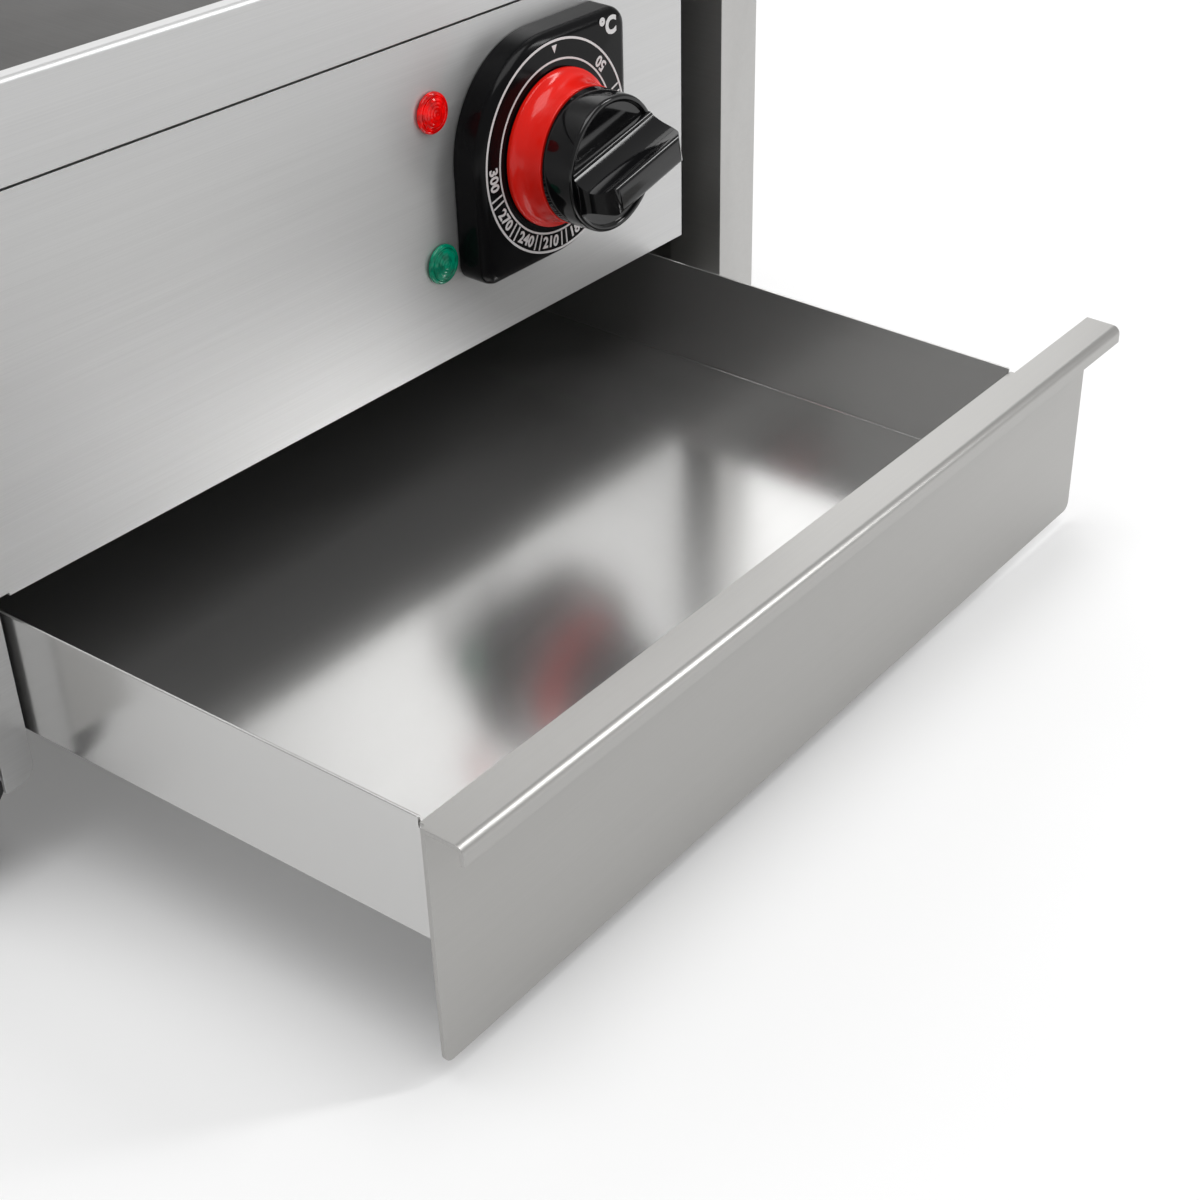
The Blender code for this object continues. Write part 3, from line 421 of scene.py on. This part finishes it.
def make_bezel():
    """From the wall's back edge over the rolled edge and the face to the hub's hole, and back inside."""
    bm = bmesh.new()
    loops = [leaf(bm, 0, -BEZEL_DEPTH), leaf(bm, 0, -EDGE_R)]
    for k in range(1, EDGE_STEPS + 1):
        a = math.radians(90 * k / EDGE_STEPS)
        loops.append(leaf(bm, EDGE_R * (1 - math.cos(a)), -EDGE_R * (1 - math.sin(a))))
    for height in (0.0, -FACE_THICK):
        angles = [math.atan2(v.co.y, v.co.x) for v in loops[-1]]
        points = [(HUB_HOLE_R * math.cos(a), HUB_HOLE_R * math.sin(a), height) for a in angles]
        loops.append([bm.verts.new((x * MM, y * MM, z * MM)) for x, y, z in points])
    loops += [leaf(bm, BEZEL_WALL, -FACE_THICK), leaf(bm, BEZEL_WALL, -BEZEL_DEPTH)]
    join_loops(bm, loops)
    look, slot = BEZEL_BLACK, "black_plastic"
    piece("bezel_moulding", bm, look, "housing", FACE_PLACE, 35, ["dial_bezel"])


make_bezel()

# ---- knob skirt: a dished red cone with a step, as (radius, height) from the bezel's face ----
SKIRT_CORNERS = [
    (20.95, 10.4),
    (21.0, 7.6),
    (21.5, 4.6),
    (22.6, 2.7),
    (24.2, 1.9),
    (24.2, 0.5),
    (11.2, 0.5),
    (11.2, 10.4),
]
SKIRT_BLENDS = [0.3, 1.5, 1.5, 1.0, 0.5, 0.2, 0, 0]
KNOB_STEPS = 96
skirt = lathe(rounded(SKIRT_CORNERS, SKIRT_BLENDS), KNOB_STEPS)
piece("skirt_moulding", skirt, GLOSS_RED, "knob", KNOB_PLACE, 40, ["knob_skirt"])

# ---- knob: a barrel with a wing grip, scooped on both flanks ----
BARREL_R, BARREL_BASE, BARREL_TOP = 20.7, 10.8, 21.7
DISH_DEPTH = 0.9
HUB_R, HUB_BASE = 9.6, 0.9
BORE_R, BORE_TOP = 3.4, 17.0
BARREL_CORNERS = [
    (0, BARREL_TOP - DISH_DEPTH),
    (BARREL_R - 2.2, BARREL_TOP - DISH_DEPTH),
    (BARREL_R - 1.6, BARREL_TOP),
    (BARREL_R, BARREL_TOP),
    (BARREL_R, BARREL_BASE),
    (HUB_R, BARREL_BASE),
    (HUB_R, HUB_BASE),
    (BORE_R, HUB_BASE),
    (BORE_R, BORE_TOP),
    (0, BORE_TOP),
]
BARREL_BLENDS = [0, 0.3, 0.4, 1.1, 0.4, 0, 0, 0, 0, 0]
barrel = lathe(rounded(BARREL_CORNERS, BARREL_BLENDS), KNOB_STEPS)

# The grip's half widths and the scoop of its flank. Its ends follow a dome, narrower at the top.
GRIP_ROOT, GRIP_LIP = 7.4, 4.5
GRIP_TOP, GRIP_SHOULDER = 35.2, 34.0
SCOOP_CENTER, SCOOP_R, SCOOP_STEPS = (13.4, 29.6), 10.0, 12
DOME_FROM, DOME_TOP_R, DOME_FALL = 26.5, 13.6, 0.97
END_GAP = 0.3
GRIP_STEPS = 32


def grip_section():
    """Half of the grip's cross-section, from its root to the middle of its top."""
    half = [(GRIP_ROOT, BARREL_TOP - 2.0), (GRIP_ROOT, BARREL_TOP + 0.35)]
    half += [(GRIP_ROOT - 0.25, BARREL_TOP + 0.85), (GRIP_ROOT - 0.8, BARREL_TOP + 1.05)]
    y, h = SCOOP_CENTER
    start = math.atan2(BARREL_TOP + 1.15 - h, GRIP_ROOT - 1.0 - y)
    end = math.atan2(GRIP_SHOULDER - h, GRIP_LIP - y)
    start, end = start % (2 * math.pi), end % (2 * math.pi)
    for i in range(SCOOP_STEPS + 1):
        a = start + (end - start) * i / SCOOP_STEPS
        half.append((y + SCOOP_R * math.cos(a), h + SCOOP_R * math.sin(a)))
    for inward, down in ((0.12, 0.8), (0.45, 0.36), (0.95, 0.08), (1.6, 0)):
        half.append((GRIP_LIP - inward, GRIP_TOP - down))
    return half + [(0.9, GRIP_TOP)]


def make_grip():
    """Rows over the section, each running out to the dome at both ends."""
    section = grip_section()
    bm = bmesh.new()
    rows = []
    for y, h in section + [(-y, h) for y, h in reversed(section)]:
        rise = min(1.0, max(0.0, (h - DOME_FROM) / (GRIP_TOP - DOME_FROM)))
        swell = (BARREL_R - END_GAP - DOME_TOP_R) * math.sqrt(1.0 - DOME_FALL * rise * rise)
        reach = math.sqrt((DOME_TOP_R + swell) ** 2 - y * y)
        spread = [math.sin(math.pi * (i / GRIP_STEPS - 0.5)) for i in range(GRIP_STEPS + 1)]
        rows.append([bm.verts.new((u * reach * MM, y * MM, h * MM)) for u in spread])
    for a, b in zip(rows, rows[1:]):
        for i in range(GRIP_STEPS):
            bm.faces.new((a[i], a[i + 1], b[i + 1], b[i]))
    for i in range(GRIP_STEPS):
        bm.faces.new((rows[0][i + 1], rows[0][i], rows[-1][i], rows[-1][i + 1]))
    for end in (0, GRIP_STEPS):
        for j in range(len(section) - 1):
            a, b = rows[j][end], rows[j + 1][end]
            c, d = rows[-2 - j][end], rows[-1 - j][end]
            bm.faces.new((a, b, c, d))
    return bm


piece("knob_barrel", barrel, GLOSS_BLACK, "knob", KNOB_PLACE, 45, ["knob"])
piece("knob_grip", make_grip(), GLOSS_BLACK, "knob", KNOB_PLACE, 50)


# ---- signal lamps: a rim with a low ribbed dome ----
LENS_BACK, DOME_EDGE = 0.4, 1.3
LENS_RIBS = (0.78, 0.62, 0.46, 0.30, 0.14)  # each rib's crest, as a share of the lens's radius


def make_lens(tag, mat):
    """A flange, a groove and a low dome, with ribs across the dome like a prism ring."""
    low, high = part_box(f"lamp_lens_{tag}")
    r = (high.x - low.x) / 2 / MM
    proud = (PANEL_FACE - low.y) / MM
    profile = [(r, LENS_BACK), (r, 1.0), (r - 0.35, 1.45), (r - 0.9, 1.5), (r - 1.05, 1.15)]
    for share in LENS_RIBS:
        crest = proud - (proud - DOME_EDGE) * share**2
        profile += [(r * (share + 0.02), crest - 0.05), (r * share, crest)]
        profile += [(r * (share - 0.05), crest - 0.11)]
    profile += [(0, proud - 0.05), (0, LENS_BACK)]
    middle = (low + high) / 2
    place = Matrix.Translation((middle.x, PANEL_FACE, middle.z)) @ TO_FRONT
    lens, slot = lathe(profile, 40), f"{tag}_lens"
    piece(f"lens_{tag}", lens, mat, "housing", place, 50, [f"lamp_lens_{tag}"])


make_lens("red", LENS_RED)
make_lens("green", LENS_GREEN)

# ---- dial print ----
RING_OUT, RING_OUT_WIDTH = 32.5, 0.7
RING_IN, RING_IN_WIDTH = 26.6, 0.6
PRINT_UP = 0.10
MARK_ANGLE, MARK_HALF, MARK_TAPER = 2.2, 0.55, 0.85  # degrees from the middle between two numbers
MARK_IN, MARK_OUT = RING_IN + 0.5, RING_OUT - 0.6
POINTER_HALF, POINTER_BASE, POINTER_TIP = 2.1, RING_OUT - 1.3, RING_IN + 2.2
DIGIT_SIZE, DIGIT_BOLD = 4.9, 0.03
UNIT_SIZE, UNIT_BOLD = 7.4, 0.045
UNIT_ANGLE, UNIT_R = 40, 39.5
# Each number's angle in degrees, clockwise from the mark at the top.
SCALE = {50: 47, 100: 94, 150: 141, 180: 165, 210: 190, 240: 214, 270: 239, 300: 267}


def face_point(angle, radius, lift=0.0):
    """A point on the bezel's face in its own plane, with the angle clockwise from the top."""
    a = math.radians(angle)
    return Vector((radius * math.sin(a), radius * math.cos(a), lift)) * MM


def prism(bm, points):
    """A thin print from the face up, with the outline given by face points."""
    low = [bm.verts.new(p) for p in points]
    top = [bm.verts.new(p + Vector((0, 0, PRINT_UP * MM))) for p in points]
    bm.faces.new(low)
    bm.faces.new(top)
    for i in range(len(points)):
        j = (i + 1) % len(points)
        bm.faces.new((low[i], low[j], top[j], top[i]))


def ring_print(name, radius, width, steps=120):
    """A raised ring with a square section."""
    bm = bmesh.new()
    loops = []
    for r, lift in ((-0.5, 0), (-0.5, PRINT_UP), (0.5, PRINT_UP), (0.5, 0)):
        points = [face_point(360 * i / steps, radius + r * width, lift) for i in range(steps)]
        loops.append([bm.verts.new(p) for p in points])
    join_loops(bm, loops)
    piece(name, bm, PRINT, "housing", FACE_PLACE, 0)


ring_print("dial_ring_outer", RING_OUT, RING_OUT_WIDTH)
ring_print("dial_ring_inner", RING_IN, RING_IN_WIDTH)

marks = bmesh.new()
values = sorted(SCALE)
for low, high in zip(values, values[1:]):
    middle = (SCALE[low] + SCALE[high]) / 2
    for offset in (-MARK_ANGLE, MARK_ANGLE):
        a = middle + offset
        narrow = MARK_HALF * MARK_TAPER
        inner = [face_point(a - MARK_HALF, MARK_IN), face_point(a + MARK_HALF, MARK_IN)]
        prism(marks, inner + [face_point(a + narrow, MARK_OUT), face_point(a - narrow, MARK_OUT)])
pointer = [face_point(-POINTER_HALF, POINTER_BASE), face_point(POINTER_HALF, POINTER_BASE)]
prism(marks, pointer + [face_point(0, POINTER_TIP)])
piece("dial_marks", marks, PRINT, "housing", FACE_PLACE, 0)


def text(name, body, angle, radius, size, turn, bold):
    """Raised characters on the bezel, centred on a point and turned clockwise, in degrees."""
    curve = bpy.data.curves.new(name, "FONT")
    curve.body = body
    curve.size = size * MM
    curve.align_x = "CENTER"
    curve.align_y = "CENTER"
    curve.extrude = PRINT_UP / 2 * MM
    curve.offset = size * bold * MM
    curve.resolution_u = 3
    curve.materials.append(PRINT)
    obj = bpy.data.objects.new(name, curve)
    bpy.context.scene.collection.objects.link(obj)
    place = Matrix.Translation(face_point(angle, radius, PRINT_UP / 2))
    obj.matrix_world = FACE_PLACE @ place @ Matrix.Rotation(math.radians(-turn), 4, "Z")
    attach(obj, "housing")


for value, angle in SCALE.items():
    middle = (RING_IN + RING_OUT) / 2
    text(f"dial_number_{value}", str(value), angle, middle, DIGIT_SIZE, angle + 180, DIGIT_BOLD)
text("dial_unit", "°C", UNIT_ANGLE, UNIT_R, UNIT_SIZE, 0, UNIT_BOLD)


# ---- feet: a wide head on a narrow stem, as (radius, height) from the table ----
FOOT_CORNERS = [
    (14.9, 35.6),
    (15.5, 34.8),
    (15.5, 27.0),
    (13.0, 22.4),
    (7.8, 19.2),
    (7.6, 6.0),
    (8.4, 2.0),
    (7.9, 0.0),
    (0, 0.0),
]
FOOT_BLENDS = [0.3, 0.8, 3.0, 3.0, 2.0, 4.0, 1.0, 0.4, 0]
FOOT_BORE = [(0, 10.0), (3.5, 10.0), (3.5, 35.6)]
for tag in ("front_left", "front_right", "rear_left", "rear_right"):
    low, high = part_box(f"foot_{tag}")
    middle = (low + high) / 2
    foot = lathe(rounded(FOOT_CORNERS, FOOT_BLENDS, 5) + FOOT_BORE, 56)
    place = Matrix.Translation((middle.x, middle.y, low.z))
    piece(f"foot_moulding_{tag}", foot, RUBBER, "housing", place, 40, [f"foot_{tag}"])


# ---- floor, lights and camera ----
FLOOR_HALF, FLOOR_DOWN = 8.0, 0.0003


def floor():
    """A plain pale floor, just under the feet."""
    mesh = bpy.data.meshes.new("floor")
    bm = bmesh.new()
    bmesh.ops.create_grid(bm, x_segments=1, y_segments=1, size=FLOOR_HALF)
    bm.to_mesh(mesh)
    bm.free()
    obj = bpy.data.objects.new("floor", mesh)
    obj.location = (0, 0, -FLOOR_DOWN)
    bpy.context.scene.collection.objects.link(obj)
    m = Nodes("floor")
    tone = m.ramp(m.noise((3.0, 3.0, 3.0), 2.0), (0.80, 0.80, 0.80), (0.83, 0.83, 0.83))
    m.link(tone, m.shader.inputs["Base Color"])
    m.set(Roughness=0.9, Emission_Color=(1, 1, 1, 1), Emission_Strength=0.10)
    mesh.materials.append(m.mat)


floor()


def area(name, place, target, size, power):
    """A soft rectangular light, turned to its target."""
    light = bpy.data.lights.new(name, "AREA")
    light.shape = "RECTANGLE"
    light.size, light.size_y = size
    light.energy = power
    obj = bpy.data.objects.new(name, light)
    obj.location = place
    obj.rotation_euler = (Vector(target) - Vector(place)).to_track_quat("-Z", "Y").to_euler()
    bpy.context.scene.collection.objects.link(obj)


# The key hangs overhead. The flat sheets mirror back_right, and the drawer's floor mirrors front_right.
area("key", (-0.3, -0.4, 2.7), (0, 0, 0.1), (2.0, 2.0), power=44)
area("back_right", (1.95, 1.63, 1.6), (0, 0, 0.1), (2.6, 1.6), power=18)
area("front_right", (1.5, -1.6, 1.6), (0, -0.1, 0.1), (0.28, 1.6), power=18)

SKY_STRENGTH = 0.42
world = bpy.data.worlds.new("studio")
world.use_nodes = True
sky = world.node_tree.nodes["Background"]
sky.inputs["Color"].default_value = (1, 1, 1, 1)
sky.inputs["Strength"].default_value = SKY_STRENGTH
bpy.context.scene.world = world
bpy.context.scene.view_settings.view_transform = "Standard"

camera_data = bpy.data.cameras.new("camera")
camera = bpy.data.objects.new("camera", camera_data)
bpy.context.scene.collection.objects.link(camera)
bpy.context.scene.camera = camera
camera_data.sensor_width = 36.0
camera_data.lens = 61.836
camera_data.shift_x = -0.2236
camera_data.shift_y = 0.0334
camera.location = (-0.4037, -0.5359, 0.3791)
CAMERA_TURN = (55.4216, -2.7832, -57.9385)  # degrees
camera.rotation_euler = [math.radians(a) for a in CAMERA_TURN]
